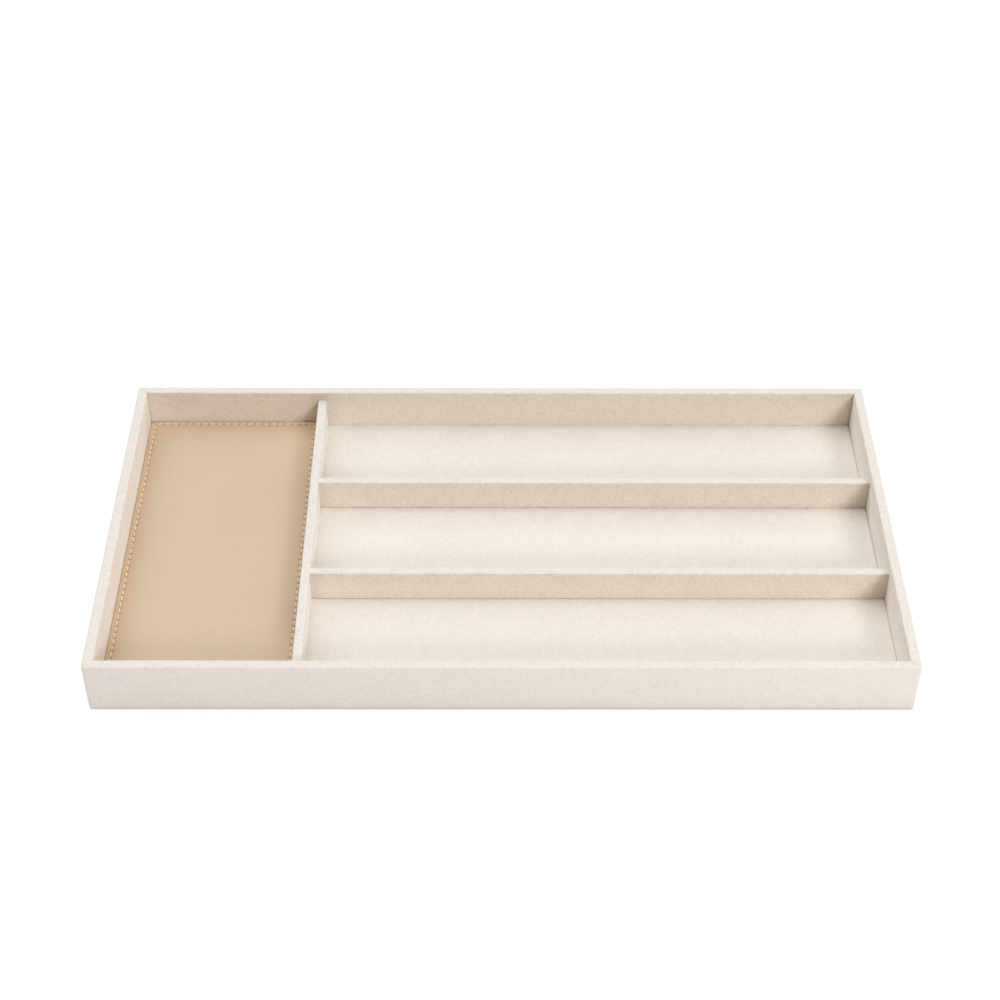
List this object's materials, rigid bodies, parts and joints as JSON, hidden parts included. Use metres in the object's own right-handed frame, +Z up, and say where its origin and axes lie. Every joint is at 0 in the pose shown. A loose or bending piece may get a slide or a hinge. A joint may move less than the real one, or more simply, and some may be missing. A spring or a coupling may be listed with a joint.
{
  "type": "watch tray",
  "caption": "Shallow rectangular suede-covered tray with long parallel lanes for watches beside a wider valet compartment that holds a loose, stitched leather mat.",
  "frame": {"origin": "middle of the underside, on the surface that the tray stands on", "axes": "+X along the lanes, to the right with the leather mat on the left; +Y to the rear; +Z up"},
  "size_m": [0.5, 0.26, 0.0375],
  "materials": {
    "suede": "matt brushed suede, ivory",
    "felt": "matt felt, beige",
    "board": "raw fibreboard",
    "card": "grey pulp card",
    "leather": "smooth satin leather, tan",
    "backing": "matt flesh side of leather",
    "padding": "thin soft wadding",
    "thread": "waxed sewing thread, cream"
  },
  "bodies": {
    "tray": {"base_felt": "felt", "base_board": "board", "front_wall_board": "board", "front_wall_suede": "suede", "right_wall_board": "board", "right_wall_suede": "suede", "rear_wall_board": "board", "rear_wall_suede": "suede", "left_wall_board": "board", "left_wall_suede": "suede", "main_divider_board": "board", "main_divider_suede": "suede", "front_lane_divider_board": "board", "front_lane_divider_suede": "suede", "rear_lane_divider_board": "board", "rear_lane_divider_suede": "suede", "front_lane_floor_card": "card", "front_lane_floor_suede": "suede", "middle_lane_floor_card": "card", "middle_lane_floor_suede": "suede", "rear_lane_floor_card": "card", "rear_lane_floor_suede": "suede", "valet_floor_card": "card", "valet_floor_suede": "suede"},
    "valet_mat": {"mat_backing": "backing", "mat_board": "board", "mat_padding": "padding", "mat_leather": "leather", "mat_thread": "thread"}
  },
  "joints": [
    {"name": "mat_lift", "type": "slide", "parent": "tray", "child": "valet_mat", "axis": [0, 0, 1], "range_m": [0, 0.06]}
  ]
}
